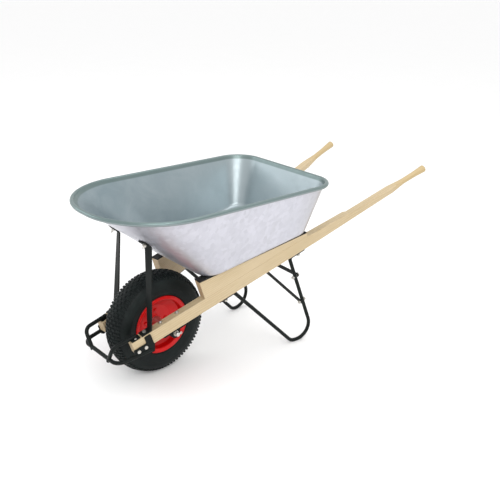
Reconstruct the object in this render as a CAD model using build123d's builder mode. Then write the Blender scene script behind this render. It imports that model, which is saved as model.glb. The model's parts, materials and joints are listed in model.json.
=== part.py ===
from build123d import *
import math
import os

os.makedirs("parts", exist_ok=True)

# A contractor's wheelbarrow. Millimetres, +Z up, the wheel at the -Y end and the
# grips at the +Y end. The origin is on the ground, at the middle of the length.
# A y in a named size is counted from the axle; s runs along a handle from its front
# end, t is square to it upwards and lateral is square to it outwards.

# ---------------------------------------------------------------- driving sizes
AXLE_Y = -479.96  # puts the middle of the overall length on the origin
WHEEL_R = 203.0
AXLE_R = 8.0
FIT = 0.05  # radial clearance of the running fit on the axle
GAP = 0.1  # assembly gap between pieces that are bolted or seated together

HANDLE_NOSE = (105.0, -172.0, 190.0)
HANDLE_TAIL = (274.0, 1231.0, 660.0)
HANDLE_W = 36.0
HANDLE_H = 50.0
HANDLE_EASE = 3.0
SLIM_FROM_S = 860.0  # behind this the handle's underside draws in
TOP_CUTS = [(820.0, 25.0), (848.0, 19.5), (1034.0, 12.5), (1050.0, 6.0)]  # s and t
SLIM_TOP, SLIM_UNDER = 6.0, -17.5  # t of the slim part's faces
GRIP_LENGTH = 205.0
GRIP_TAPER = 80.0
GRIP_T = -5.0  # the grip's axis
GRIP_R = 15.5
GRIP_NECK_R = 12.0
WEDGE_FRONT_S = 320.0
WEDGE_REAR_S = 820.0
PAD_T = 5.0  # a soft strip lies between each wedge and the tray

SHEET = 1.8  # tray wall, measured level
RIM_Z = 692.0  # height of the rolled rim's centre
RIM_LIP = 2.0  # the wall ends this far above the rim's centre
RIM_HALF = 287.0
RIM_NOSE_Y = -269.0
RIM_REAR_Y = 670.0
RIM_NOSE_R = 270.0
RIM_REAR_R = 105.0
BEAD_R = 8.0
BEAD_BORE = 6.5
ROD_R = 6.4
ROD_WALL = 1.5
WALL_AT_BEAD = 6.6  # the wall's outer face, in from the rim's centre line

TRAY_BOLTS_S = (406.0, 768.0)

FLOOR_FRONT_Y = 125.0
FLOOR_REAR_Y = 600.0
FLOOR_FRONT_Z = 396.0
FLOOR_RISE = 0.205  # rise per unit of length towards the grips
FLOOR_FRONT_HALF = 178.0
FLOOR_REAR_HALF = 226.0
FLOOR_FRONT_R = 75.0
FLOOR_REAR_R = 60.0
FLOOR_BEND = 22.0  # pressed radius between floor and walls

BRACE_W = 30.0
BRACE_T = 5.0
BRACE_TOE_S = 46.0
BRACE_HEEL_S = 86.0
BRACE_BOLT_S = 64.0
BRACE_BEND = 8.0
BEND_STEPS = 4
TAB_X = 101.0
TAB_Y = -97.0
TAB_HALF = 22.0
TAB_STANDOFF = 0.5

LEG_R = 7.5
LEG_SINK = 6.7  # how far the middle of the bar lies from the flat of a foot or tab
LEG_TAB_FRONT_Y = 194.0
LEG_BEND_FRONT_Y = 260.0
FOOT_FRONT_Y = 548.0
FOOT_REAR_Y = 664.0
LEG_BEND_REAR_Y = 520.0
LEG_TAB_REAR_Y = 590.0
LEG_RADII = [14.0, 45.0, 62.0, 14.0]
TIE_W = 19.0
TIE_T = 4.0
TIE_OFF = 2.0  # the ties stand off the splayed legs on their bolts
TIE_SEAT = 1.2  # clears the corners of faces that are turned to the bolt
TIE_RIGHT_Z = (300.0, 184.0)  # heights of the cross tie and the diagonal tie
TIE_LEFT_Z = (322.0, 361.0)

GUARD_T = 4.0
GUARD_BAR_R = 7.5
GUARD_FRONT = (-242.0, 147.0)  # y and z of the hoop's front run
GUARD_SLOPE = 10.0
GUARD_CORNER_R = 40.0
GUARD_BOLTS_S = (12.0, 42.0)
GUARD_BOLT_T = -16.0
HOOK_S = 30.0
HOOK_LATERAL = -4.0
HOOK_CREST = (97.0, -246.0, 208.0)
HOOK_TIP = (54.0, -242.0, 137.0)
HOOK_R = 28.0
LUG_S = (4.0, 40.0)
SCREW_S = 22.0
SCREW_R = 2.2
SCREW_LATERAL = 8.0

BRACKET_HALF = 50.0
BRACKET_BOLT = 36.0
BRACKET_T = 5.0
LUG_R = 20.0
LUG_HALF = 10.0
AXLE_HALF = 152.0
COTTER_X = 145.0
COLLAR_R = 11.0  # spacers and washers, clear of the bracket's plate

HUB_R = 19.0
HUB_BORE = 14.0
HUB_HALF = 72.0
BUSH_LENGTH = 26.0
BUSH_FLANGE = 3.0
FLANGE_R = 56.0
FLANGE_HALF = 2.0
RIM_SHEET = 2.5
RIM_BOLT_PCR = 44.0
RIM_BOLTS = 4
SEAT_R = 101.3
SEAT_X = 45.2
TYRE_SKIN = 9.0
VALVE_X = 27.0
VALVE_ANGLE = -107.0  # about the axle, from +Y towards +Z
VALVE_R = 4.0

BOLT_R = 4.0
HOLE_R = 4.4
NUT_R = 7.5
NUT_T = 6.5
BOLT_HEAD_T = 5.5
TAIL = 3.0  # thread showing past a nut


# ---------------------------------------------------------------- frames and helpers
def at(x, y, z):
    """A point with y counted from the axle."""
    return Vector(x, AXLE_Y + y, z)


AXLE = at(0, 0, WHEEL_R)
nose = at(*HANDLE_NOSE)
tail = at(*HANDLE_TAIL)
along = (tail - nose).normalized()
side = along.cross(Vector(0, 0, 1)).normalized()
up = side.cross(along).normalized()
flat = Vector(along.X, along.Y, 0).normalized()
down, inwards = up * -1, side * -1
HANDLE_LENGTH = (tail - nose).length
UNDER = -HANDLE_H / 2
bracket_x = nose.X + (AXLE.Y - nose.Y) * along.X / along.Y
bracket_eye = Vector(bracket_x, AXLE.Y, AXLE.Z)
AXLE_S = (bracket_eye - nose).dot(along)  # where the handle passes the axle
BRACKET_BOLTS_S = (AXLE_S - BRACKET_BOLT, AXLE_S + BRACKET_BOLT)

handle_plane = Plane(origin=nose, x_dir=along, z_dir=side)  # s and t
leg_plane = Plane(origin=at(HANDLE_NOSE[0], HANDLE_NOSE[1], 0), x_dir=flat, z_dir=side)
wheel_plane = Plane(origin=AXLE, x_dir=(1, 0, 0), z_dir=(0, -1, 0))  # axial, radial
wheel_axis = Axis(AXLE, (1, 0, 0))
floor_tilt = math.atan(FLOOR_RISE)
floor_normal = Vector(0, -math.sin(floor_tilt), math.cos(floor_tilt))
floor_plane = Plane(
    origin=at(0, FLOOR_FRONT_Y, FLOOR_FRONT_Z), x_dir=(1, 0, 0), z_dir=floor_normal
)
floor_top = floor_plane.offset(SHEET)


def on_handle(s, t, lateral=0.0):
    """A point of the right handle's own frame."""
    return nose + along * s + up * t + side * lateral


def across(point, direction, x_dir=None):
    """The plane at a point, square to a direction."""
    return Plane(origin=point, x_dir=x_dir, z_dir=direction)


def mirrored(vector):
    return Vector(-vector.X, vector.Y, vector.Z)


def rod(start, direction, radius, length, mode=Mode.ADD):
    """A round bar, or with Mode.SUBTRACT a hole, in the piece being built."""
    with Locations(across(start, direction)):
        Cylinder(radius, length, align=(Align.CENTER, Align.CENTER, Align.MIN), mode=mode)


def drill(start, direction, depth, radius=HOLE_R):
    """A bolt hole in the piece being built."""
    rod(start, direction, radius, depth, mode=Mode.SUBTRACT)


def save(piece, label):
    piece.part.label = label
    export_step(piece.part, f"parts/{label}.step")


def save_pair(piece, label):
    """The right-hand piece and its mirror image, as two nodes."""
    save(piece, label + "_right")
    with BuildPart() as twin:
        mirror(piece.part, about=Plane.YZ)
    save(twin, label + "_left")


def save_both_sides(pieces, label):
    """Right-hand fasteners and their mirror images, as one node."""
    with BuildPart() as group:
        for piece in pieces:
            add(piece.part)
            mirror(piece.part, about=Plane.YZ)
    save(group, label)


def save_group(pieces, label):
    """Several separate fasteners as one node."""
    with BuildPart() as group:
        for piece in pieces:
            add(piece.part)
    save(group, label)


def hex_bolt(head_at, direction, length):
    """A bolt whose head stands back from head_at and whose shank goes on from it."""
    with BuildPart() as one:
        with BuildSketch(across(head_at, direction * -1)):
            RegularPolygon(NUT_R, 6)
        extrude(amount=BOLT_HEAD_T)
        rod(head_at, direction, BOLT_R, length)
    return one


def domed_bolt(head_at, seat_normal, direction, length):
    """A carriage bolt whose round head beds on a face that may slope to the shank."""
    with BuildPart() as one:
        rod(head_at, seat_normal, NUT_R + 1.5, 4.5)
        fillet(one.edges().sort_by(Axis(head_at, seat_normal))[-1], 4.0)
        rod(head_at - direction * 2, direction, BOLT_R, length + 2)
    return one


def hex_nut(seat, direction):
    """A nut standing on its seat, bored clear of its bolt."""
    with BuildPart() as nut:
        with BuildSketch(across(seat, direction)):
            RegularPolygon(NUT_R, 6)
            Circle(BOLT_R + FIT, mode=Mode.SUBTRACT)
        extrude(amount=NUT_T)
    return nut


def round_bar(plane, points, radii, radius):
    """A round bar along a path with filleted corners."""
    with BuildPart() as bar:
        with BuildLine(plane) as path:
            FilletPolyline(*points, radius=radii)
        with BuildSketch(across(path.line @ 0, path.line % 0)):
            Circle(radius)
        sweep(path=path.line)
    return bar


# ---------------------------------------------------------------- tray
def rim_outline(inset, height=RIM_Z):
    """The rim's outline in plan, a rounded nose and a squarer rear."""
    half = RIM_HALF - inset
    front, rear = RIM_NOSE_Y + inset, RIM_REAR_Y - inset
    with BuildSketch(Plane(at(0, 0, height))) as outline:
        with BuildLine():
            Polyline((half, front), (half, rear), (-half, rear), (-half, front), close=True)
        make_face()
        fillet(outline.vertices().group_by(Axis.Y)[0], RIM_NOSE_R - inset)
        fillet(outline.vertices().group_by(Axis.Y)[-1], RIM_REAR_R - inset)
    return outline


def floor_outline(inset):
    """The floor's outline on its own slope, wider at the rear."""
    far = (FLOOR_REAR_Y - FLOOR_FRONT_Y) / math.cos(floor_tilt) - inset
    front, rear = FLOOR_FRONT_HALF - inset, FLOOR_REAR_HALF - inset
    with BuildSketch(floor_plane.offset(inset)) as outline:
        with BuildLine():
            Polyline((front, inset), (rear, far), (-rear, far), (-front, inset), close=True)
        make_face()
        fillet(outline.vertices().group_by(Axis.Y)[0], FLOOR_FRONT_R - inset)
        fillet(outline.vertices().group_by(Axis.Y)[-1], FLOOR_REAR_R - inset)
    return outline


def tray_block(inset):
    """The solid inside one skin of the tray, with its pressed bottom bend."""
    low = floor_outline(inset)
    high = rim_outline(WALL_AT_BEAD + inset, RIM_Z + RIM_LIP)
    with BuildPart() as block:
        loft([low.sketch, high.sketch], ruled=True)
        bottom = block.faces().sort_by(Axis(floor_plane.origin, floor_normal))[0]
        fillet(bottom.edges(), FLOOR_BEND - inset)
    return block


def first_hit(skin, start, direction):
    """Where a ray first meets a tray skin, and the skin's outward normal there."""
    hits = skin.part.find_intersection_points(Axis(start, direction))
    ahead = [hit for hit in hits if (hit[0] - start).dot(direction) > 0]
    return min(ahead, key=lambda hit: (hit[0] - start).length)


def floor_bolt_point(s):
    """Where a bolt square to the handle comes out on the tray's floor."""
    start = on_handle(s, 0)
    height = (floor_top.origin - start).dot(floor_normal) / up.dot(floor_normal)
    return start + up * height


outer_skin = tray_block(0.0)
inner_skin = tray_block(SHEET)
rim_wire = rim_outline(0).sketch.faces()[0].outer_wire()
rim_start = Plane(origin=rim_wire @ 0, z_dir=rim_wire % 0)

# each front brace's tab is bolted to the sloping nose of the tray
tab_point, tab_out = first_hit(outer_skin, at(TAB_X, TAB_Y, RIM_Z / 2), Vector(0, 0, 1))
tab_out = tab_out if tab_out.Z < 0 else tab_out * -1
tab_inside = first_hit(inner_skin, tab_point, tab_out * -1)[0]
tray_bolt_points = [floor_bolt_point(s) for s in TRAY_BOLTS_S]

with BuildPart() as tray:
    add(outer_skin.part)
    add(inner_skin.part, mode=Mode.SUBTRACT)
    with BuildSketch(rim_start):
        Circle(BEAD_R)
        Circle(BEAD_BORE, mode=Mode.SUBTRACT)
    sweep(path=rim_wire)
    for mirror_it in (Vector, mirrored):
        for point in tray_bolt_points:
            drill(mirror_it(point + up * 10), mirror_it(down), 20)
        drill(mirror_it(tab_point + tab_out * 10), mirror_it(tab_out * -1), 20)
save(tray, "tray")

with BuildPart() as rim_rod:
    with BuildSketch(rim_start):
        Circle(ROD_R)
        Circle(ROD_R - ROD_WALL, mode=Mode.SUBTRACT)
    sweep(path=rim_wire)
save(rim_rod, "rim_rod")

# ---------------------------------------------------------------- handles and wedges
BODY_END = HANDLE_LENGTH - GRIP_LENGTH
GRIP_START = BODY_END + GRIP_TAPER
slim_mid = (SLIM_TOP + SLIM_UNDER) / 2

with BuildPart() as handle:
    with BuildSketch(handle_plane):
        with BuildLine():
            Polyline(
                (0, UNDER), (SLIM_FROM_S, UNDER), (BODY_END - 20, SLIM_UNDER),
                (BODY_END, SLIM_UNDER), (BODY_END, SLIM_TOP),
                *reversed(TOP_CUTS), (0, HANDLE_H / 2), close=True,
            )
        make_face()
    extrude(amount=HANDLE_W / 2, both=True)
    long_edges = [edge for edge in handle.edges() if abs((edge % 0.5).dot(along)) > 0.9]
    fillet(long_edges, HANDLE_EASE)
    with BuildSketch(across(on_handle(BODY_END, slim_mid), along, side)):
        RectangleRounded(HANDLE_W, SLIM_TOP - SLIM_UNDER, HANDLE_EASE)
    with BuildSketch(across(on_handle(GRIP_START, GRIP_T), along, side)):
        Circle(GRIP_NECK_R)
    loft()
    with BuildSketch(handle_plane):
        with BuildLine():
            neck = (GRIP_START + 35, GRIP_T + GRIP_NECK_R)
            flare = (HANDLE_LENGTH - 3, GRIP_T + GRIP_R)
            Line((GRIP_START, GRIP_T + GRIP_NECK_R), neck)
            Spline(neck, flare, tangents=((1, 0), (1, 0.05)))
            ThreePointArc(flare, (HANDLE_LENGTH - 0.9, flare[1] - 0.9), (HANDLE_LENGTH, flare[1] - 3))
            Polyline(
                (HANDLE_LENGTH, flare[1] - 3), (HANDLE_LENGTH, GRIP_T), (GRIP_START, GRIP_T),
                (GRIP_START, GRIP_T + GRIP_NECK_R),
            )
        make_face()
    revolve(axis=Axis(on_handle(0, GRIP_T), along))
    for hole_s in (*TRAY_BOLTS_S, *BRACKET_BOLTS_S, BRACE_BOLT_S):
        drill(on_handle(hole_s, HANDLE_H), down, 2 * HANDLE_H)
    for hole_s in GUARD_BOLTS_S:
        drill(on_handle(hole_s, GUARD_BOLT_T, HANDLE_W), inwards, 2 * HANDLE_W)
    drill(on_handle(SCREW_S, HANDLE_H, SCREW_LATERAL), down, HANDLE_H, SCREW_R)
save_pair(handle, "handle")


def under_tray(drop):
    """What fills the space between the handle and the tray, its top lowered by drop."""
    with BuildPart() as filling:
        with BuildSketch(handle_plane):
            with Locations((WEDGE_FRONT_S, HANDLE_H / 2)):
                Rectangle(WEDGE_REAR_S - WEDGE_FRONT_S, 2 * HANDLE_H, align=(Align.MIN, Align.MIN))
        extrude(amount=HANDLE_W / 2, both=True)
        split(bisect_by=floor_plane.offset(-drop), keep=Keep.BOTTOM)
        for hole_s in TRAY_BOLTS_S:
            drill(on_handle(hole_s, 4 * HANDLE_H), down, 4 * HANDLE_H)
    return filling


wedge = under_tray(PAD_T)
save_pair(wedge, "wedge")
with BuildPart() as tray_pad:
    add(under_tray(0).part)
    split(bisect_by=floor_plane.offset(-PAD_T), keep=Keep.TOP)
save_pair(tray_pad, "tray_pad")


# ---------------------------------------------------------------- front braces
def station(point, direction, width_dir):
    """A strap's cross section, square to its run."""
    level = width_dir - direction * width_dir.dot(direction)
    with BuildSketch(Plane(origin=point, x_dir=level, z_dir=direction)) as section:
        Rectangle(BRACE_W, BRACE_T)
    return section.sketch


def bend(corner, before, after, width_dir):
    """Cross sections round one bend of a strap."""
    turn = math.radians(before.get_angle(after))
    inward = (after - before * after.dot(before)).normalized()
    start = corner - before * BRACE_BEND * math.tan(turn / 2)
    sections = []
    for step in range(BEND_STEPS + 1):
        angle = turn * step / BEND_STEPS
        forward, sideways = math.sin(angle), 1 - math.cos(angle)
        point = start + (before * forward + inward * sideways) * BRACE_BEND
        direction = before * math.cos(angle) + inward * math.sin(angle)
        sections.append(station(point, direction, width_dir))
    return sections


tab_wide = Vector(-tab_out.Y, tab_out.X, 0).normalized()
tab_climb = tab_wide.cross(tab_out).normalized()
tab_climb = tab_climb if tab_climb.Z > 0 else tab_climb * -1
tab_centre = tab_point + tab_out * (TAB_STANDOFF + BRACE_T / 2)
tab_root = tab_centre - tab_climb * TAB_HALF
foot_mid = HANDLE_H / 2 + BRACE_T / 2
heel = on_handle(BRACE_HEEL_S, foot_mid)
rise = (tab_root - heel).normalized()

brace_sections = [station(on_handle(BRACE_TOE_S, foot_mid), along, side)]
brace_sections += bend(heel, along, rise, side)
brace_sections += bend(tab_root, rise, tab_climb, tab_wide)
brace_sections.append(station(tab_centre + tab_climb * TAB_HALF, tab_climb, tab_wide))

with BuildPart() as front_brace:
    loft(brace_sections, ruled=True)
    drill(on_handle(BRACE_BOLT_S, HANDLE_H), down, HANDLE_H / 2)
    drill(tab_point + tab_out * 20, tab_out * -1, 25)
save_pair(front_brace, "front_brace")


# ---------------------------------------------------------------- legs
def leg_point(y, z):
    """A point of the leg's path: distance along the leg's plane, and height."""
    return ((y - HANDLE_NOSE[1]) / flat.Y, z)


def tab_height(y):
    """Height of the bar's middle where it runs under the handle."""
    corner = on_handle(0, UNDER - LEG_SINK)
    return corner.Z + (AXLE_Y + y - corner.Y) * along.Z / along.Y


upright_top = at(0, LEG_BEND_REAR_Y, tab_height(LEG_BEND_REAR_Y))
upright_foot = at(0, FOOT_REAR_Y, LEG_SINK)
upright_dir = (upright_top - upright_foot).normalized()
upright_out = Vector(0, upright_dir.Z, -upright_dir.Y)


def on_upright(height, off=0.0):
    """The middle of the right leg's rear upright at a height, or off it rearwards."""
    run = (height - upright_foot.Z) / upright_dir.Z
    point = upright_foot + upright_dir * run
    across_x = nose.X + (point.Y - nose.Y) * flat.X / flat.Y
    return Vector(across_x, point.Y, point.Z) + upright_out * off


def make_leg(tie_heights):
    """A right-hand leg, flat where it bears, drilled for the tray's bolts and the ties."""
    tabs = (LEG_TAB_FRONT_Y, LEG_BEND_FRONT_Y, LEG_BEND_REAR_Y, LEG_TAB_REAR_Y)
    tab_front, bend_front, bend_rear, tab_rear = [leg_point(y, tab_height(y)) for y in tabs]
    foot = [leg_point(FOOT_FRONT_Y, LEG_SINK), leg_point(FOOT_REAR_Y, LEG_SINK)]
    path = [tab_front, bend_front, *foot, bend_rear, tab_rear]
    with BuildPart() as leg:
        add(round_bar(leg_plane, path, LEG_RADII, LEG_R).part)
        split(bisect_by=across(on_handle(0, UNDER), up, along), keep=Keep.BOTTOM)
        split(bisect_by=Plane.XY, keep=Keep.TOP)
        for hole_s in TRAY_BOLTS_S:
            drill(on_handle(hole_s, 0), down, HANDLE_H)
        for height in tie_heights:
            drill(on_upright(height, 20), upright_out * -1, 40)
    return leg


def make_tie(right_z, left_z, off):
    """A flat bar across the two rear uprights, drilled at both ends."""
    right_end = on_upright(right_z, off)
    left_end = mirrored(on_upright(left_z, off))
    reach = (right_end - left_end).length
    run = (right_end - left_end).normalized()
    face = (upright_out - run * upright_out.dot(run)).normalized()
    with BuildPart() as tie:
        with BuildSketch(Plane(origin=left_end, x_dir=run, z_dir=face)):
            with Locations((reach / 2, 0)):
                SlotCenterToCenter(reach, TIE_W)
            with Locations((0, 0), (reach, 0)):
                Circle(HOLE_R, mode=Mode.SUBTRACT)
        extrude(amount=TIE_T)
    return tie


leg_right = make_leg(TIE_RIGHT_Z)
save(leg_right, "leg_right")
left_blank = make_leg(TIE_LEFT_Z)
with BuildPart() as leg_left:
    mirror(left_blank.part, about=Plane.YZ)
save(leg_left, "leg_left")

TIE_OFFS = (LEG_R + TIE_OFF, -LEG_R - TIE_OFF - TIE_T)  # behind the uprights, before them
leg_cross_tie = make_tie(TIE_RIGHT_Z[0], TIE_LEFT_Z[0], TIE_OFFS[0])
save(leg_cross_tie, "leg_cross_tie")
leg_diagonal_tie = make_tie(TIE_RIGHT_Z[1], TIE_LEFT_Z[1], TIE_OFFS[1])
save(leg_diagonal_tie, "leg_diagonal_tie")

# ---------------------------------------------------------------- nose guard
slope = math.radians(GUARD_SLOPE)
guard_plane = Plane(
    origin=at(0, *GUARD_FRONT), x_dir=(1, 0, 0), z_dir=(0, -math.sin(slope), math.cos(slope))
)
bar_end = guard_plane.to_local_coords(on_handle(60, -38, (HANDLE_W + GUARD_T) / 2))
corner_x = bar_end.X - bar_end.Y * flat.X / flat.Y
hoop_path = [
    (bar_end.X, bar_end.Y), (corner_x, 0), (-corner_x, 0), (-bar_end.X, bar_end.Y)
]
hoop = round_bar(guard_plane, hoop_path, GUARD_CORNER_R, GUARD_BAR_R)

hook_start = on_handle(HOOK_S, HANDLE_H / 2 + GUARD_BAR_R, HOOK_LATERAL)
hook_crest, hook_tip = at(*HOOK_CREST), at(*HOOK_TIP)
hook_run = hook_crest - hook_start
hook_plane = Plane(
    origin=hook_start, x_dir=hook_run, z_dir=hook_run.cross(hook_tip - hook_crest)
)
hook_path = [hook_plane.to_local_coords(p) for p in (hook_start, hook_crest, hook_tip)]
hook = round_bar(hook_plane, [(p.X, p.Y) for p in hook_path], HOOK_R, GUARD_BAR_R)

with BuildPart() as guard_side:
    add(hook.part)
    with BuildSketch(handle_plane.offset(HANDLE_W / 2)) as plate:
        with BuildLine():
            Polyline(
                (-4, -4), (50, -4), (50, 23), (76, 23), (76, -30), (68, -52), (6, -52),
                (-4, -42), close=True,
            )
        make_face()
        fillet(plate.vertices(), 4)
    extrude(amount=GUARD_T)
    with BuildSketch(across(on_handle(sum(LUG_S) / 2, HANDLE_H / 2), up, along)):
        RectangleRounded(LUG_S[1] - LUG_S[0], HANDLE_W - 8, 5)
    extrude(amount=GUARD_T)
    for hole_s in GUARD_BOLTS_S:
        drill(on_handle(hole_s, GUARD_BOLT_T, HANDLE_W), inwards, HANDLE_W / 2)
    drill(on_handle(SCREW_S, HANDLE_H, SCREW_LATERAL), down, HANDLE_H / 2, SCREW_R)

with BuildPart() as nose_guard:
    add(hoop.part)
    add(guard_side.part)
    mirror(guard_side.part, about=Plane.YZ)
save(nose_guard, "nose_guard")

# ---------------------------------------------------------------- axle and its brackets
plate_centre = on_handle(AXLE_S, UNDER - BRACKET_T)


def plate_height(y):
    """Height of the bracket plate's mid surface above the axle, y from the axle."""
    point = plate_centre + up * (BRACKET_T / 2)
    return point.Z - WHEEL_R + (AXLE_Y + y - point.Y) * along.Z / along.Y


with BuildPart() as axle_bracket:
    with BuildSketch(across(plate_centre, up, along)):
        RectangleRounded(2 * BRACKET_HALF, HANDLE_W, 6)
    extrude(amount=BRACKET_T)
    with BuildSketch(Plane(origin=bracket_eye, x_dir=(0, 1, 0), z_dir=(1, 0, 0))):
        with BuildLine():
            Polyline(
                (-LUG_R, 0), (-LUG_R, plate_height(-LUG_R)), (LUG_R, plate_height(LUG_R)), (LUG_R, 0)
            )
            ThreePointArc((LUG_R, 0), (0, -LUG_R), (-LUG_R, 0))
        make_face()
        Circle(AXLE_R + GAP, mode=Mode.SUBTRACT)
    extrude(amount=LUG_HALF, both=True)
    for hole_s in BRACKET_BOLTS_S:
        drill(on_handle(hole_s, 0), down, HANDLE_H)
save_pair(axle_bracket, "axle_bracket")

x_dir, x_back = Vector(1, 0, 0), Vector(-1, 0, 0)


def on_axle(x):
    return AXLE + x_dir * x


with BuildPart() as axle:
    rod(on_axle(-AXLE_HALF), x_dir, AXLE_R, 2 * AXLE_HALF)
    chamfer(axle.edges().filter_by(GeomType.CIRCLE), 1.0)
    for end in (-COTTER_X, COTTER_X):
        drill(on_axle(end) - Vector(0, 2 * AXLE_R, 0), Vector(0, 1, 0), 4 * AXLE_R, 2.0)
save(axle, "axle")


def collar(x, length, outer, bore):
    """A round sleeve on the axle, from x outwards on the right side."""
    with BuildPart() as sleeve:
        with BuildSketch(across(on_axle(x), x_dir)):
            Circle(outer)
            Circle(bore, mode=Mode.SUBTRACT)
        extrude(amount=length)
    return sleeve


spacer_start = HUB_HALF + BUSH_FLANGE + GAP + 0.3
spacer_length = bracket_x - LUG_HALF - GAP - spacer_start
axle_spacer = collar(spacer_start, spacer_length, COLLAR_R, AXLE_R + GAP)
save_pair(axle_spacer, "axle_spacer")
axle_washer = collar(bracket_x + LUG_HALF + GAP, 3.0, COLLAR_R, AXLE_R + GAP)
save_both_sides([axle_washer], "axle_washers")

with BuildPart() as cotter:
    rod(on_axle(COTTER_X) - Vector(0, 14, 0), Vector(0, 1, 0), 1.8, 28)
    with Locations(across(on_axle(COTTER_X) + Vector(0, 16.5, 0), x_dir)):
        Torus(3.6, 1.6)
save_both_sides([cotter], "cotter_pins")

# ---------------------------------------------------------------- wheel
with BuildPart() as hub:
    rod(on_axle(-HUB_HALF), x_dir, HUB_R, 2 * HUB_HALF)
    rod(on_axle(-FLANGE_HALF), x_dir, FLANGE_R, 2 * FLANGE_HALF)
    drill(on_axle(-HUB_HALF), x_dir, 2 * HUB_HALF, HUB_BORE)
    with Locations(across(on_axle(-HUB_HALF), x_dir)):
        with PolarLocations(RIM_BOLT_PCR, RIM_BOLTS):
            Cylinder(
                HOLE_R, 2 * HUB_HALF, align=(Align.CENTER, Align.CENTER, Align.MIN),
                mode=Mode.SUBTRACT,
            )
save(hub, "hub")

with BuildPart() as bushing:
    inner_end = HUB_HALF - BUSH_LENGTH
    rod(on_axle(inner_end), x_dir, HUB_BORE - FIT, BUSH_LENGTH)
    rod(on_axle(HUB_HALF + FIT), x_dir, HUB_R - 1, BUSH_FLANGE)
    rod(on_axle(HUB_HALF), x_dir, HUB_BORE - FIT, BUSH_FLANGE)
    drill(on_axle(inner_end), x_dir, 2 * BUSH_LENGTH, AXLE_R + FIT)
save_pair(bushing, "hub_bushing")

valve_angle = math.radians(VALVE_ANGLE)
valve_dir = Vector(0, math.cos(valve_angle), math.sin(valve_angle))
valve_seat = on_axle(VALVE_X)


def make_rim_half():
    """The right half of the pressed rim: web, well, bead seat and flange."""
    web_x = FLANGE_HALF + FIT
    with BuildPart() as half:
        with BuildSketch(wheel_plane):
            with BuildLine():
                FilletPolyline(
                    (web_x, HUB_R + GAP), (web_x, 66), (20, SEAT_R), (SEAT_X, SEAT_R),
                    (SEAT_X, 112), (SEAT_X + 3, 116), radius=[8, 8, 3, 2.6],
                )
                offset(amount=RIM_SHEET, side=Side.RIGHT)
            make_face()
        revolve(axis=wheel_axis)
        with Locations(across(on_axle(0), x_dir)):
            with PolarLocations(RIM_BOLT_PCR, RIM_BOLTS):
                Cylinder(
                    HOLE_R, 20, align=(Align.CENTER, Align.CENTER, Align.MIN), mode=Mode.SUBTRACT
                )
    return half


rim_half = make_rim_half()
with BuildPart() as rim_right:
    add(rim_half.part)
    drill(valve_seat, valve_dir, WHEEL_R, VALVE_R + 0.3)
save(rim_right, "rim_right")
with BuildPart() as rim_left:
    mirror(rim_half.part, about=Plane.YZ)
save(rim_left, "rim_left")

with BuildPart() as tyre:
    with BuildSketch(wheel_plane):
        with BuildLine():
            Line((45, 106), (45, 113))
            ThreePointArc((45, 113), (57, 150), (47, 189))
            ThreePointArc((47, 189), (0, WHEEL_R), (-47, 189))
            ThreePointArc((-47, 189), (-57, 150), (-45, 113))
            Polyline((-45, 113), (-45, 106), (-40.5, 101.5), (-33, 101.5), (-33, 109))
            ThreePointArc((-33, 109), (-47.5, 150), (-39, 181))
            ThreePointArc((-39, 181), (0, WHEEL_R - TYRE_SKIN), (39, 181))
            ThreePointArc((39, 181), (47.5, 150), (33, 109))
            Polyline((33, 109), (33, 101.5), (40.5, 101.5), (45, 106))
        make_face()
    revolve(axis=wheel_axis)
save(tyre, "tyre")

with BuildPart() as inner_tube:
    with BuildSketch(wheel_plane):
        with Locations((0, 149)):
            Ellipse(40, 41)
            Ellipse(37.5, 38.5, mode=Mode.SUBTRACT)
    revolve(axis=wheel_axis)
save(inner_tube, "inner_tube")

with BuildPart() as valve_stem:
    rod(valve_seat + valve_dir * 72, valve_dir, VALVE_R, 36)
    rod(valve_seat + valve_dir * 62, valve_dir, 2.6, 12)
save(valve_stem, "valve_stem")

with BuildPart() as valve_cap:
    rod(valve_seat + valve_dir * 59, valve_dir, 4.0, 12.5)
    fillet(valve_cap.edges().filter_by(GeomType.CIRCLE), 0.8)
    drill(valve_seat + valve_dir * 61.5, valve_dir, 20, 2.7)
save(valve_cap, "valve_cap")

# ---------------------------------------------------------------- fasteners
tray_bolts, tray_nuts = [], []
for point, hole_s in zip(tray_bolt_points, TRAY_BOLTS_S):
    seat = on_handle(hole_s, UNDER - LEG_SINK - LEG_R)
    reach = (point - seat).length + NUT_T + TAIL
    tray_bolts.append(domed_bolt(point, floor_normal, down, reach))
    tray_nuts.append(hex_nut(seat, down))
save_both_sides(tray_bolts, "tray_bolts")
save_both_sides(tray_nuts, "tray_nuts")

tab_head = tab_inside - tab_out * 0.4
tab_nut_seat = tab_point + tab_out * (TAB_STANDOFF + BRACE_T)
tab_reach = (tab_nut_seat - tab_head).length + NUT_T + 3 * TAIL
save_both_sides([domed_bolt(tab_head, tab_out * -1, tab_out, tab_reach)], "brace_tab_bolts")
save_both_sides([hex_nut(tab_nut_seat, tab_out)], "brace_tab_nuts")

brace_head = on_handle(BRACE_BOLT_S, HANDLE_H / 2 + BRACE_T)
brace_bolt = hex_bolt(brace_head, down, BRACE_T + HANDLE_H + NUT_T + TAIL)
save_both_sides([brace_bolt], "brace_foot_bolts")
save_both_sides([hex_nut(on_handle(BRACE_BOLT_S, UNDER), down)], "brace_foot_nuts")

guard_bolts, guard_nuts = [], []
for hole_s in GUARD_BOLTS_S:
    head = on_handle(hole_s, GUARD_BOLT_T, HANDLE_W / 2 + GUARD_T)
    guard_bolts.append(hex_bolt(head, inwards, GUARD_T + HANDLE_W + NUT_T + TAIL))
    guard_nuts.append(hex_nut(on_handle(hole_s, GUARD_BOLT_T, -HANDLE_W / 2), inwards))
save_both_sides(guard_bolts, "guard_bolts")
save_both_sides(guard_nuts, "guard_nuts")

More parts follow.
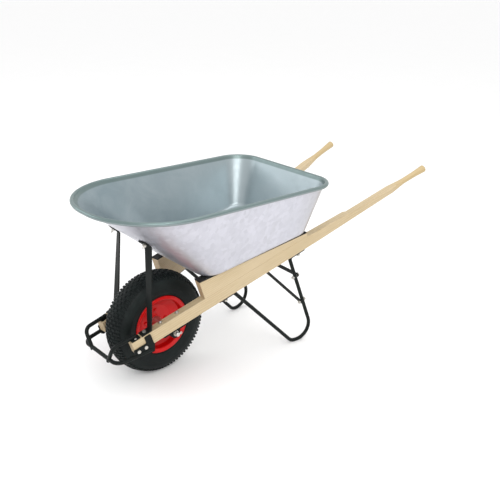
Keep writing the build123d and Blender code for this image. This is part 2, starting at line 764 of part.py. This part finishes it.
with BuildPart() as guard_screw:
    screw_seat = on_handle(SCREW_S, HANDLE_H / 2 + GUARD_T, SCREW_LATERAL)
    rod(screw_seat, up, 4.5, 2.6)
    fillet(guard_screw.edges().sort_by(Axis(screw_seat, up))[-1], 2.0)
    rod(screw_seat, down, SCREW_R - 0.2, 26)
save_both_sides([guard_screw], "guard_screws")

bracket_bolts, bracket_nuts = [], []
for hole_s in BRACKET_BOLTS_S:
    head = on_handle(hole_s, UNDER - BRACKET_T)
    bracket_bolts.append(hex_bolt(head, up, BRACKET_T + HANDLE_H + NUT_T + TAIL))
    bracket_nuts.append(hex_nut(on_handle(hole_s, HANDLE_H / 2), up))
save_both_sides(bracket_bolts, "bracket_bolts")
save_both_sides(bracket_nuts, "bracket_nuts")

tie_bolts, tie_nuts = [], []
leg_in = upright_out * -1
TIE_HEADS = (TIE_OFFS[0] + TIE_T + TIE_SEAT, LEG_R + TIE_SEAT)  # behind a tie or a leg
TIE_NUTS = (-LEG_R - TIE_SEAT, TIE_OFFS[1] - TIE_SEAT)
for heights, flip in ((TIE_RIGHT_Z, Vector), (TIE_LEFT_Z, mirrored)):
    for height, head_off, nut_off in zip(heights, TIE_HEADS, TIE_NUTS):
        head = flip(on_upright(height, head_off))
        seat = flip(on_upright(height, nut_off))
        tie_bolts.append(hex_bolt(head, leg_in, (seat - head).length + NUT_T + TAIL))
        tie_nuts.append(hex_nut(seat, leg_in))
save_group(tie_bolts, "tie_bolts")
save_group(tie_nuts, "tie_nuts")

web_face = FLANGE_HALF + FIT + RIM_SHEET
rim_bolts, rim_nuts = [], []
for number in range(RIM_BOLTS):
    angle = 2 * math.pi * number / RIM_BOLTS
    spoke = Vector(0, math.cos(angle), math.sin(angle)) * RIM_BOLT_PCR
    rim_bolts.append(hex_bolt(on_axle(web_face) + spoke, x_back, 2 * web_face + NUT_T + TAIL))
    rim_nuts.append(hex_nut(on_axle(-web_face) + spoke, x_back))
save_group(rim_bolts, "rim_bolts")
save_group(rim_nuts, "rim_nuts")
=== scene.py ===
import json
import math

import bmesh
import bpy
from mathutils import Matrix, Vector


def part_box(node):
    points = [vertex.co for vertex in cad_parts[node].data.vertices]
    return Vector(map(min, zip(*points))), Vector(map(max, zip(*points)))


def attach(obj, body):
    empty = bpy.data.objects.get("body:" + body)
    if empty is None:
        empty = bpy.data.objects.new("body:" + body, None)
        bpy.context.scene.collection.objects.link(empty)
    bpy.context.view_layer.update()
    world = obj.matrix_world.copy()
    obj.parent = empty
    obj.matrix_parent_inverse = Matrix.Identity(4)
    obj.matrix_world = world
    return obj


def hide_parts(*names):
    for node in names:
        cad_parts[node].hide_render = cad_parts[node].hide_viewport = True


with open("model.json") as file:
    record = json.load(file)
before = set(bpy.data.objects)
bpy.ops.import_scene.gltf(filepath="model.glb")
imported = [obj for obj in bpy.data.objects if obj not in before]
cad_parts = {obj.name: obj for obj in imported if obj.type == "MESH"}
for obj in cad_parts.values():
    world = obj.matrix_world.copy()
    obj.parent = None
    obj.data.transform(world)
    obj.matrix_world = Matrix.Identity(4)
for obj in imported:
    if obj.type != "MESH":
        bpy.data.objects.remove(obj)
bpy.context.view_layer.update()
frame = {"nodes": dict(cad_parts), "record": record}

# ---------------------------------------------------------------- the frame's lines
MM = 0.001
AXLE = Vector((0, -0.47996, 0.203))
NOSE = AXLE + Vector((0.105, -0.172, -0.013))
TAIL = AXLE + Vector((0.274, 1.231, 0.457))
ALONG = (TAIL - NOSE).normalized()
SIDE = ALONG.cross(Vector((0, 0, 1))).normalized()
UP = SIDE.cross(ALONG).normalized()
LENGTH = (TAIL - NOSE).length
RIM_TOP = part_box("tray")[1][2]
X = Vector((1, 0, 0))


def flip(vector):
    """The same direction or point on the left of the barrow."""
    return Vector((-vector.x, vector.y, vector.z))


# ---------------------------------------------------------------- node helpers
def graph(name):
    """A new material with its node tree and its shader."""
    material = bpy.data.materials.new(name)
    material.use_nodes = True
    tree = material.node_tree
    return material, tree, tree.nodes["Principled BSDF"]


def feed(tree, socket, value):
    """Links a value that is another node's output, or sets a plain one."""
    if isinstance(value, bpy.types.NodeSocket):
        tree.links.new(value, socket)
    else:
        socket.default_value = value


def maths(tree, operation, first, second=0.0):
    """One Math node on two values."""
    node = tree.nodes.new("ShaderNodeMath")
    node.operation = operation
    feed(tree, node.inputs[0], first)
    feed(tree, node.inputs[1], second)
    return node.outputs[0]


def place(tree):
    """Where a point of the surface is in the barrow's frame, in metres."""
    return tree.nodes.new("ShaderNodeTexCoord").outputs["Object"]


def dot(tree, vector, direction):
    """How far a vector reaches along a direction."""
    node = tree.nodes.new("ShaderNodeVectorMath")
    node.operation = "DOT_PRODUCT"
    feed(tree, node.inputs[0], vector)
    node.inputs[1].default_value = direction
    return node.outputs["Value"]


def combine(tree, *parts):
    """A vector made of three values."""
    node = tree.nodes.new("ShaderNodeCombineXYZ")
    for socket, part in zip(node.inputs, parts):
        feed(tree, socket, part)
    return node.outputs[0]


def noise(tree, vector, scale, detail=3.0, rough=0.55, warp=0.0):
    """Soft random variation over the surface."""
    node = tree.nodes.new("ShaderNodeTexNoise")
    feed(tree, node.inputs["Vector"], vector)
    node.inputs["Scale"].default_value = scale
    node.inputs["Detail"].default_value = detail
    node.inputs["Roughness"].default_value = rough
    node.inputs["Distortion"].default_value = warp
    return node.outputs["Fac"]


def span(tree, value, low, high, to_low=0.0, to_high=1.0, smooth=False):
    """A value's range stretched to another range, and held inside it."""
    node = tree.nodes.new("ShaderNodeMapRange")
    node.interpolation_type = "SMOOTHSTEP" if smooth else "LINEAR"
    feed(tree, node.inputs["Value"], value)
    node.inputs["From Min"].default_value = low
    node.inputs["From Max"].default_value = high
    node.inputs["To Min"].default_value = to_low
    node.inputs["To Max"].default_value = to_high
    return node.outputs["Result"]


def blend(tree, factor, first, second):
    """A mix of two colours."""
    node = tree.nodes.new("ShaderNodeMix")
    node.data_type = "RGBA"
    feed(tree, node.inputs[0], factor)
    for socket, value in ((node.inputs[6], first), (node.inputs[7], second)):
        feed(tree, socket, value if isinstance(value, bpy.types.NodeSocket) else (*value, 1.0))
    return node.outputs[2]


def bump(tree, shader, height, strength, distance):
    """Small relief in the shading, the height given over the surface."""
    node = tree.nodes.new("ShaderNodeBump")
    feed(tree, node.inputs["Height"], height)
    node.inputs["Strength"].default_value = strength
    node.inputs["Distance"].default_value = distance
    tree.links.new(node.outputs["Normal"], shader.inputs["Normal"])


# ---------------------------------------------------------------- materials
def galvanised():
    """Dipped sheet: faint spangle, drawn streaks, darker towards the rear, a darker band at the rolled rim,
    and painted shade inside, mottled and with painted light towards the rear.
    """
    material, tree, shader = graph("galvanised_sheet")
    here = place(tree)
    cells = tree.nodes.new("ShaderNodeTexVoronoi")
    warped = noise(tree, here, 14.0, 2.0)
    cells.inputs["Scale"].default_value = 62.0
    cells.inputs["Randomness"].default_value = 1.0
    feed(tree, cells.inputs["Vector"], here)
    grey = tree.nodes.new("ShaderNodeRGBToBW")
    tree.links.new(cells.outputs["Color"], grey.inputs[0])
    spangle = grey.outputs[0]
    cloud = noise(tree, here, 5.0, 4.0, 0.6, 0.4)
    drawn = noise(tree, combine(tree, dot(tree, here, (40, 0, 0)), dot(tree, here, (0, 40, 0)),
                                dot(tree, here, (0, 0, 3))), 1.0, 4.0, 0.6)
    tone = blend(tree, span(tree, spangle, 0.15, 0.85), (0.52, 0.52, 0.575), (0.60, 0.60, 0.66))
    tone = blend(tree, span(tree, cloud, 0.35, 0.7, 0.0, 0.35), tone, (0.47, 0.48, 0.53))
    tone = blend(tree, span(tree, drawn, 0.5, 0.75, 0.0, 0.22), tone, (0.42, 0.43, 0.45))
    # The sheet is painted darker towards the rear.
    rear_darkening = span(tree, dot(tree, here, (0, 1, 0)), -0.02, 0.17, 0.0, 0.6, smooth=True)
    tone = blend(tree, rear_darkening, tone, (0.37, 0.365, 0.345))
    # Faces turned upward (the tray's inside) get painted shade: a darker, blue-green copy of the sheet,
    # mottled at random, with painted light making it lighter towards the rear.
    facing = tree.nodes.new("ShaderNodeNewGeometry").outputs["Normal"]
    inside = span(tree, dot(tree, facing, (0, 0, 1)), 0.02, 0.12)
    inside_shade_and_scuffs = blend(tree, span(tree, noise(tree, here, 9.0, 5.0, 0.65, 0.6), 0.35, 0.7),
                    (0.21, 0.28, 0.305), (0.29, 0.355, 0.38))
    lit = span(tree, dot(tree, here, (0, 1, 0)), -0.55, 0.1, 0.0, 0.6)
    inside_shade_and_scuffs = blend(tree, lit, inside_shade_and_scuffs, (0.42, 0.48, 0.50))
    tone = blend(tree, maths(tree, "MULTIPLY", inside, 0.9), tone, inside_shade_and_scuffs)
    height = dot(tree, here, (0, 0, 1))
    # The rolled rim is painted as a darker band.
    rolled = span(tree, height, RIM_TOP - 0.018, RIM_TOP - 0.0145)
    tone = blend(tree, maths(tree, "MULTIPLY", rolled, 0.75), tone, (0.13, 0.185, 0.175))
    tree.links.new(tone, shader.inputs["Base Color"])
    shader.inputs["Metallic"].default_value = 0.72
    rough = span(tree, maths(tree, "ADD", spangle, warped), 0.4, 1.6, 0.30, 0.42)
    tree.links.new(rough, shader.inputs["Roughness"])
    bump(tree, shader, maths(tree, "ADD", drawn, maths(tree, "MULTIPLY", spangle, 0.4)), 0.12, 0.0006)
    return material


def wood(name, along, side, up, start):
    """Planed timber: rings cut at a slant, fine fibres, darker end grain, handled grips."""
    material, tree, shader = graph(name)
    here = place(tree)
    s = maths(tree, "SUBTRACT", dot(tree, here, along), start.dot(along))
    lateral = maths(tree, "SUBTRACT", dot(tree, here, side), start.dot(side))
    t = maths(tree, "SUBTRACT", dot(tree, here, up), start.dot(up))
    wander = noise(tree, combine(tree, maths(tree, "MULTIPLY", s, 2.2), 0.0, 0.0), 1.0, 2.0)
    drift = maths(tree, "MULTIPLY", maths(tree, "SUBTRACT", wander, 0.5), 0.05)
    across_grain = maths(tree, "ADD", maths(tree, "ADD", lateral, 0.045), drift)
    through = maths(tree, "ADD", t, 0.07)
    rings = tree.nodes.new("ShaderNodeTexWave")
    rings.wave_type = "RINGS"
    rings.rings_direction = "X"
    rings.wave_profile = "SAW"
    slanted = maths(tree, "MULTIPLY", s, 0.06)
    feed(tree, rings.inputs["Vector"], combine(tree, slanted, across_grain, through))
    rings.inputs["Scale"].default_value = 46.0
    rings.inputs["Distortion"].default_value = 1.6
    rings.inputs["Detail"].default_value = 2.0
    rings.inputs["Detail Scale"].default_value = 0.35
    stretched = [maths(tree, "MULTIPLY", s, 14.0)]
    stretched += [maths(tree, "MULTIPLY", offset, 620.0) for offset in (lateral, t)]
    fibres = noise(tree, combine(tree, *stretched), 1.0, 4.0, 0.6)
    broad = [maths(tree, "MULTIPLY", s, 3.0)]
    broad += [maths(tree, "MULTIPLY", offset, 9.0) for offset in (lateral, t)]
    patches = noise(tree, combine(tree, *broad), 1.0, 3.0)
    tone = blend(tree, rings.outputs["Fac"], (0.57, 0.46, 0.29), (0.43, 0.32, 0.165))
    tone = blend(tree, 0.35, tone, (0.54, 0.435, 0.28))
    tone = blend(tree, span(tree, fibres, 0.42, 0.75, 0.0, 0.45), tone, (0.31, 0.22, 0.11))
    tone = blend(tree, span(tree, patches, 0.4, 0.7, 0.0, 0.3), tone, (0.60, 0.49, 0.33))
    handled = span(tree, s, LENGTH - 0.21, LENGTH - 0.13, 0.0, 0.45, smooth=True)
    tone = blend(tree, handled, tone, (0.46, 0.33, 0.13))
    facing = tree.nodes.new("ShaderNodeNewGeometry").outputs["Normal"]
    end_grain = span(tree, maths(tree, "ABSOLUTE", dot(tree, facing, along)), 0.85, 0.97, 0.0, 0.35)
    tone = blend(tree, end_grain, tone, (0.40, 0.27, 0.15))
    tree.links.new(tone, shader.inputs["Base Color"])
    tree.links.new(span(tree, fibres, 0.3, 0.8, 0.42, 0.62), shader.inputs["Roughness"])
    ridges = maths(tree, "MULTIPLY", rings.outputs["Fac"], 0.3)
    bump(tree, shader, maths(tree, "ADD", fibres, ridges), 0.22, 0.0005)
    return material


def paint(name, colour, worn, roughness, gleam, grain):
    """Sprayed enamel: orange peel, cloudy sheen and a little dust."""
    material, tree, shader = graph(name)
    here = place(tree)
    cloud = noise(tree, here, 18.0, 4.0, 0.6, 0.3)
    speck = noise(tree, here, 420.0, 2.0, 0.7)
    tone = blend(tree, span(tree, cloud, 0.45, 0.8, 0.0, 0.5), colour, worn)
    tone = blend(tree, span(tree, speck, 0.66, 0.78, 0.0, 0.18), tone, (0.30, 0.29, 0.26))
    tree.links.new(tone, shader.inputs["Base Color"])
    tree.links.new(span(tree, cloud, 0.3, 0.75, roughness, roughness + 0.16), shader.inputs["Roughness"])
    shader.inputs["Specular IOR Level"].default_value = gleam
    bump(tree, shader, noise(tree, here, 340.0, 2.0), grain, 0.0004)
    return material


def rubber(name, colour, dusty, roughness):
    """Moulded rubber with a fine pebbled skin and dust in soft patches."""
    material, tree, shader = graph(name)
    here = place(tree)
    cloud = noise(tree, here, 22.0, 5.0, 0.65)
    pebble = noise(tree, here, 900.0, 2.0, 0.6)
    tone = blend(tree, span(tree, cloud, 0.42, 0.8, 0.0, 0.6), colour, dusty)
    tree.links.new(tone, shader.inputs["Base Color"])
    tree.links.new(span(tree, cloud, 0.3, 0.7, roughness, roughness + 0.14), shader.inputs["Roughness"])
    bump(tree, shader, maths(tree, "ADD", pebble, cloud), 0.3, 0.0004)
    shader.inputs["Specular IOR Level"].default_value = 0.14
    return material


def zinc():
    """Zinc plate: bright, with a thin straw-coloured cast in places."""
    material, tree, shader = graph("zinc_plate")
    here = place(tree)
    cloud = noise(tree, here, 70.0, 4.0, 0.6)
    fine = noise(tree, here, 900.0, 2.0)
    tone = blend(tree, span(tree, cloud, 0.4, 0.75), (0.62, 0.61, 0.59), (0.50, 0.455, 0.37))
    tree.links.new(tone, shader.inputs["Base Color"])
    shader.inputs["Metallic"].default_value = 0.9
    tree.links.new(span(tree, cloud, 0.3, 0.8, 0.26, 0.44), shader.inputs["Roughness"])
    bump(tree, shader, fine, 0.15, 0.0002)
    return material


def floor_paper():
    """The pale studio floor."""
    material, tree, shader = graph("studio_floor")
    tone = blend(tree, noise(tree, place(tree), 3.0), (0.955, 0.955, 0.955), (0.975, 0.975, 0.975))
    tree.links.new(tone, shader.inputs["Base Color"])
    shader.inputs["Roughness"].default_value = 0.9
    return material


WOOD_RIGHT = wood("wood_right", ALONG, SIDE, UP, NOSE)
WOOD_LEFT = wood("wood_left", flip(ALONG), flip(SIDE), flip(UP), flip(NOSE))
SHEET = galvanised()
BLACK = paint("black_enamel", (0.006, 0.008, 0.0075), (0.014, 0.019, 0.017), 0.36, 0.12, 0.12)
RED = paint("red_enamel", (0.56, 0.0015, 0.002), (0.44, 0.001, 0.002), 0.3, 0.3, 0.08)
TYRE_RUBBER = rubber("tyre_rubber", (0.006, 0.0085, 0.0085), (0.018, 0.026, 0.024), 0.42)
SOFT_RUBBER = rubber("plain_rubber", (0.016, 0.016, 0.016), (0.03, 0.03, 0.03), 0.55)
NYLON = rubber("moulded_nylon", (0.05, 0.05, 0.05), (0.09, 0.09, 0.09), 0.42)
ZINC = zinc()

BY_SLOT = {
    "galvanised_sheet": SHEET,
    "plain_steel": ZINC,
    "black_paint": BLACK,
    "red_paint": RED,
    "tyre": TYRE_RUBBER,
    "tube_rubber": SOFT_RUBBER,
    "valve_rubber": SOFT_RUBBER,
    "pad_rubber": SOFT_RUBBER,
    "bush_plastic": NYLON,
    "zinc_steel": ZINC,
}
SLOT_OF = {part["node"]: part["material_slot"] for part in frame["record"]["subparts"]}


def dress(obj, material):
    """Gives a CAD node its one material."""
    obj.data.materials.clear()
    obj.data.materials.append(material)


for node_name, node_object in frame["nodes"].items():
    if SLOT_OF[node_name] == "wood":
        dress(node_object, WOOD_RIGHT if node_name.endswith("right") else WOOD_LEFT)
    else:
        dress(node_object, BY_SLOT[SLOT_OF[node_name]])


# ---------------------------------------------------------------- mesh helpers
def new_object(name, mesh_data, material, body="frame"):
    """Turns a bmesh into a piece that rides on a body."""
    bmesh.ops.recalc_face_normals(mesh_data, faces=mesh_data.faces)
    mesh = bpy.data.meshes.new(name)
    mesh_data.to_mesh(mesh)
    mesh_data.free()
    obj = bpy.data.objects.new(name, mesh)
    bpy.context.scene.collection.objects.link(obj)
    mesh.materials.append(material)
    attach(obj, body)
    return obj


def smooth_by_angle(obj, degrees):
    """Smooth shading that keeps the creases."""
    mesh = obj.data
    mesh.shade_smooth()
    mesh.set_sharp_from_angle(angle=math.radians(degrees))


def basis(direction):
    """Two directions square to one."""
    helper = Vector((0, 0, 1)) if abs(direction.z) < 0.9 else Vector((0, 1, 0))
    first = direction.cross(helper).normalized()
    return first, direction.cross(first).normalized()


def skin(bm, rings, close_start=False, close_end=False):
    """Faces between rings of vertices that have the same count."""
    count = len(rings[0])
    for low, high in zip(rings, rings[1:]):
        for i in range(count):
            j = (i + 1) % count
            bm.faces.new((low[i], low[j], high[j], high[i]))
    if close_start:
        bm.faces.new(list(reversed(rings[0])))
    if close_end:
        bm.faces.new(rings[-1])


def ring(bm, centre, direction, radii):
    """One ring of vertices round a line, its radius given for each vertex."""
    first, second = basis(direction)
    count = len(radii)
    made = []
    for i, radius in enumerate(radii):
        angle = 2 * math.pi * i / count
        offset = first * math.cos(angle) + second * math.sin(angle)
        made.append(bm.verts.new(centre + offset * radius))
    return made


def hex_radius(angle, corner):
    """A hexagon's radius at an angle."""
    inner = corner * math.cos(math.pi / 6)
    turn = (angle + math.pi / 6) % (math.pi / 3) - math.pi / 6
    return inner / math.cos(turn)


SEGMENTS = 36  # round a hexagon
ROUND_SIDES = 20  # round a shank or a thread


def hexagon(bm, base, direction, corner, height, hole=0.0, both=False):
    """A forged hexagon with its corners turned off at one end or both."""
    angles = [2 * math.pi * i / SEGMENTS for i in range(SEGMENTS)]
    side_radii = [hex_radius(a + math.pi / 6, corner) for a in angles]
    flat = corner * 0.84
    level = [(r - flat) * 0.55 for r in side_radii]

    def eased(at_height, sign):
        made = ring(bm, base + direction * at_height, direction, side_radii)
        for vert, drop in zip(made, level):
            vert.co -= direction * drop * sign
        return made

    rings = []
    if both:
        rings.append(ring(bm, base, direction, [flat] * SEGMENTS))
        rings.append(eased(0, -1))
    else:
        rings.append(ring(bm, base, direction, side_radii))
    rings.append(eased(height, 1))
    rings.append(ring(bm, base + direction * height, direction, [flat] * SEGMENTS))
    if hole:
        lip = hole + 0.35 * MM
        rings.append(ring(bm, base + direction * height, direction, [lip] * SEGMENTS))
        rings.append(ring(bm, base + direction * (height - 0.4 * MM), direction, [hole] * SEGMENTS))
        rings.append(ring(bm, base + direction * 0.4 * MM, direction, [hole] * SEGMENTS))
        rings.append(ring(bm, base, direction, [lip] * SEGMENTS))
        skin(bm, rings + [rings[0]])
    else:
        rings.append(ring(bm, base + direction * height, direction, [flat * 0.55] * SEGMENTS))
        rings.append(ring(bm, base + direction * (height - 0.25 * MM), direction, [flat * 0.5] * SEGMENTS))
        skin(bm, rings, close_start=True, close_end=True)


def thread(bm, start, direction, length, radius, pitch=1.25 * MM):
    """A rolled thread: ridges round a shank, the last one eased into the end."""
    turns = max(int(length / pitch), 1)
    rings = []
    for i in range(turns):
        at_root = start + direction * (i * pitch)
        rings.append(ring(bm, at_root, direction, [radius * 0.88] * ROUND_SIDES))
        rings.append(ring(bm, at_root + direction * pitch * 0.4, direction, [radius] * ROUND_SIDES))
        rings.append(ring(bm, at_root + direction * pitch * 0.6, direction, [radius] * ROUND_SIDES))
    rings.append(ring(bm, start + direction * (length - 0.2 * MM), direction, [radius * 0.84] * ROUND_SIDES))
    rings.append(ring(bm, start + direction * length, direction, [radius * 0.72] * ROUND_SIDES))
    skin(bm, rings, close_start=True, close_end=True)


def islands(node):
    """The separate solids of a CAD node, each as a list of points."""
    mesh = frame["nodes"][node].data
    bm = bmesh.new()
    bm.from_mesh(mesh)
    bmesh.ops.remove_doubles(bm, verts=bm.verts, dist=1e-6)
    left, found = set(bm.verts), []
    while left:
        stack, group = [left.pop()], []
        while stack:
            vert = stack.pop()
            group.append(vert.co.copy())
            for edge in vert.link_edges:
                other = edge.other_vert(vert)
                if other in left:
                    left.remove(other)
                    stack.append(other)
        found.append(group)
    bm.free()
    return found


def axis_line(points, direction):
    """The line a turned or hexagonal solid lies about, with its two ends."""
    first, second = basis(direction)
    middle = Vector((0, 0, 0))
    for one in (first, second):
        values = [p.dot(one) for p in points]
        middle += one * (min(values) + max(values)) / 2
    along_line = [p.dot(direction) for p in points]
    return middle, min(along_line), max(along_line)


def end_radius(points, middle, direction, level):
    """How far a solid reaches from its line at one level along it."""
    near = [p for p in points if abs(p.dot(direction) - level) < 0.2 * MM]
    return max(((p - direction * p.dot(direction)) - middle).length for p in near)


BOLT_R = 4.0 * MM
HEX_R = 7.4 * MM
HEAD_T = 5.5 * MM
THREADED = 22 * MM  # of a long bolt; a short one is threaded to its head
FACETS = 28  # degrees; sharper edges stay creased


def each_side(direction):
    """Which direction a solid's axis has, from the side of the barrow it is on."""
    return lambda points: direction if sum(p.x for p in points) > 0 else flip(direction)


def rebuild_bolts(node, axis_of, body="frame"):
    """Hexagon bolts with chamfered heads and rolled threads, where the CAD has them."""
    bm = bmesh.new()
    for points in islands(node):
        direction = axis_of(points)
        middle, low, high = axis_line(points, direction)
        if end_radius(points, middle, direction, low) < end_radius(points, middle, direction, high):
            direction = direction * -1
            low, high = -high, -low
        seat = middle + direction * (low + HEAD_T)
        hexagon(bm, seat, direction * -1, HEX_R, HEAD_T)
        unthreaded = high - (low + HEAD_T) - THREADED
        if unthreaded > 0:
            radii = [BOLT_R] * ROUND_SIDES
            shank = [ring(bm, seat + direction * d, direction, radii) for d in (0, unthreaded)]
            skin(bm, shank, close_start=True, close_end=True)
        length = min(THREADED, high - low - HEAD_T)
        thread(bm, middle + direction * (high - length), direction, length, BOLT_R)
    obj = new_object(node + "_turned", bm, BY_SLOT[SLOT_OF[node]], body)
    smooth_by_angle(obj, FACETS)
    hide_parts(node)


def rebuild_nuts(node, axis_of, body="frame"):
    """Hexagon nuts with both faces chamfered."""
    bm = bmesh.new()
    for points in islands(node):
        direction = axis_of(points)
        middle, low, high = axis_line(points, direction)
        hexagon(bm, middle + direction * low, direction, HEX_R, high - low, BOLT_R * 1.01, both=True)
    obj = new_object(node + "_turned", bm, BY_SLOT[SLOT_OF[node]], body)
    smooth_by_angle(obj, FACETS)
    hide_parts(node)


# ---------------------------------------------------------------- bolts and nuts
on_up, on_side = each_side(UP), each_side(SIDE)
LEG_IN = Vector((0, -0.9352, -0.3541)).normalized()  # square to the rear uprights
rebuild_bolts("brace_foot_bolts", on_up)
rebuild_bolts("bracket_bolts", on_up)
rebuild_bolts("guard_bolts", on_side)
rebuild_nuts("brace_foot_nuts", on_up)
rebuild_nuts("bracket_nuts", on_up)
rebuild_nuts("guard_nuts", on_side)
rebuild_nuts("tray_nuts", on_up)
rebuild_bolts("rim_bolts", lambda points: X, "wheel")
rebuild_nuts("rim_nuts", lambda points: X, "wheel")
rebuild_bolts("tie_bolts", lambda points: LEG_IN)
rebuild_nuts("tie_nuts", lambda points: LEG_IN)

# ---------------------------------------------------------------- tyre
CROWN_C = 117.1 * MM  # from the axle to the centre of the crown's arc
CROWN_R = 85.9 * MM
KNOB_H = 4.6 * MM
ROWS = 84
STEPS = ROWS * 2


def on_wheel(x, radius, angle):
    """A point of the wheel: across it, out from the axle, and round it."""
    return AXLE + Vector((x, radius * math.cos(angle), radius * math.sin(angle)))


def crown(tilt, above):
    """A point of the tread's section, at a tilt from the middle and above its base."""
    reach = CROWN_R - KNOB_H + above
    return reach * math.sin(tilt), CROWN_C + reach * math.cos(tilt)


def side_profile():
    """One half of the tyre's outer section, from the bead to the crown's middle."""
    points = [(40.5, 101.6), (44.9, 106), (44.9, 113), (46.4, 116.5), (49.2, 119.6), (50.6, 120.2)]
    points += [(51.6, 121.8), (51.8, 123.6), (51.2, 125.2), (52.0, 127.0), (53.6, 132.0)]
    points += [(54.9, 137.5), (55.8, 143.0), (56.5, 145.0), (56.6, 147.0), (56.0, 148.6)]
    points += [(56.5, 150.4), (56.5, 152.4), (55.7, 154.0), (55.6, 160.0), (54.2, 166.0), (52.2, 172.0)]
    points += [(49.6, 177.5), (46.6, 182.0)]
    profile = [(x * MM, r * MM) for x, r in points]
    profile += [crown(math.radians(angle), 0.0) for angle in (31, 27, 22, 17, 12, 6, 0)]
    return profile


def tyre_mesh():
    """The carcass: its section swept once round the axle."""
    half = side_profile()
    inner = [(33 * MM, 101.6 * MM), (33 * MM, 109 * MM), (44 * MM, 135 * MM), (46 * MM, 152 * MM)]
    inner += [(39 * MM, 180 * MM), (20 * MM, 190 * MM)]
    section = half + [(-x, r) for x, r in reversed(half[:-1])]
    section += [(-x, r) for x, r in inner] + list(reversed(inner))
    bm = bmesh.new()
    loops = []
    for i in range(STEPS):
        angle = 2 * math.pi * i / STEPS
        loops.append([bm.verts.new(on_wheel(x, r, angle)) for x, r in section])
    for i in range(STEPS):
        here, ahead = loops[i], loops[(i + 1) % STEPS]
        for j in range(len(section)):
            k = (j + 1) % len(section)
            bm.faces.new((here[j], here[k], ahead[k], ahead[j]))
    return bm


def knob(bm, tilt, angle, wide, around, lean=0.0):
    """One tread block on the crown, wider at its root, its top edge broken."""
    levels = ((-0.8 * MM, 1.12), (KNOB_H - 0.9 * MM, 0.94), (KNOB_H - 0.1 * MM, 0.80))
    rings = []
    for above, size in levels:
        half_tilt = wide * size / 2 / CROWN_R
        half_turn = around * size / 2 / (203 * MM)
        corners = []
        for u, v in ((-1, -0.6), (-0.8, -1), (0.8, -1), (1, -0.6), (1, 0.6), (0.8, 1), (-0.8, 1), (-1, 0.6)):
            x, radius = crown(tilt + u * half_tilt, above)
            corners.append(bm.verts.new(on_wheel(x, radius, angle + v * half_turn + u * lean)))
        rings.append(corners)
    skin(bm, rings, close_start=True, close_end=True)


def tread():
    """Staggered rows of blocks, with heavier ones on the shoulders."""
    bm = bmesh.new()
    for row in range(ROWS):
        angle = 2 * math.pi * row / ROWS
        tilts = (-21, -7, 7, 21) if row % 2 else (-14, 0, 14)
        for degrees in tilts:
            knob(bm, math.radians(degrees), angle, 14.5 * MM, 9.5 * MM, 0.004)
        for degrees in (-29.5, 29.5):
            wide = 11.0 if row % 2 else 15.0
            knob(bm, math.radians(degrees), angle, wide * MM, 8.5 * MM)
    return bm


tyre = new_object("tyre_carcass", tyre_mesh(), TYRE_RUBBER, "wheel")
smooth_by_angle(tyre, 50)
knobs = new_object("tyre_tread", tread(), TYRE_RUBBER, "wheel")
smooth_by_angle(knobs, 40)
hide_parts("tyre")

# ---------------------------------------------------------------- floor, light, camera
FLOOR_HALF = 45  # metres, which puts its edge close to the horizon
bm = bmesh.new()
bmesh.ops.create_grid(bm, x_segments=8, y_segments=8, size=FLOOR_HALF)
floor_data = bpy.data.meshes.new("studio_floor")
bm.to_mesh(floor_data)
bm.free()
floor = bpy.data.objects.new("studio_floor", floor_data)
bpy.context.scene.collection.objects.link(floor)
floor.data.materials.append(floor_paper())

world = bpy.data.worlds.new("studio")
bpy.context.scene.world = world
world.use_nodes = True
world.node_tree.nodes["Background"].inputs["Color"].default_value = (1.0, 1.0, 1.0, 1.0)
world.node_tree.nodes["Background"].inputs["Strength"].default_value = 1.0


def lamp(name, at, towards, power, width, height, colour=(1, 1, 1)):
    """A soft rectangular light."""
    data = bpy.data.lights.new(name, "AREA")
    data.energy = power
    data.shape = "RECTANGLE"
    data.size = width
    data.size_y = height
    data.color = colour
    obj = bpy.data.objects.new(name, data)
    bpy.context.scene.collection.objects.link(obj)
    obj.location = at
    obj.rotation_euler = (Vector(towards) - Vector(at)).to_track_quat("-Z", "Y").to_euler()


lamp("key", (3.4, -2.0, 3.2), (0, 0, 0.3), 78, 2.6, 2.0, (1.0, 0.99, 0.97))
lamp("fill", (-3.0, -2.6, 2.2), (0, 0, 0.4), 28, 2.5, 2.0, (0.94, 0.97, 1.0))
lamp("top", (0.2, 0.6, 4.2), (0, 0, 0.4), 40, 3.0, 3.0)

VIEW_AZ, VIEW_EL, VIEW_ROLL = math.radians(48.5), math.radians(21.8), math.radians(1.2)
TARGET = AXLE + Vector((0.0872, 0.400, 0.2165))
DISTANCE = 2.95
LENS_MM, SENSOR_MM = 53.57, 36.0
back_level = Vector((math.sin(VIEW_AZ), -math.cos(VIEW_AZ), 0)) * math.cos(VIEW_EL)
back = back_level + Vector((0, 0, math.sin(VIEW_EL)))
level = Vector((math.cos(VIEW_AZ), math.sin(VIEW_AZ), 0))
upward = back.cross(level)
rolled_right = level * math.cos(VIEW_ROLL) + upward * math.sin(VIEW_ROLL)
rolled_up = upward * math.cos(VIEW_ROLL) - level * math.sin(VIEW_ROLL)
camera_data = bpy.data.cameras.new("camera")
camera_data.sensor_width = SENSOR_MM
camera_data.lens = LENS_MM
camera = bpy.data.objects.new("camera", camera_data)
bpy.context.scene.collection.objects.link(camera)
turn = Matrix((rolled_right, rolled_up, back)).transposed()
camera.matrix_world = Matrix.Translation(TARGET + back * DISTANCE) @ turn.to_4x4()
bpy.context.scene.camera = camera
bpy.context.scene.view_settings.view_transform = "Standard"
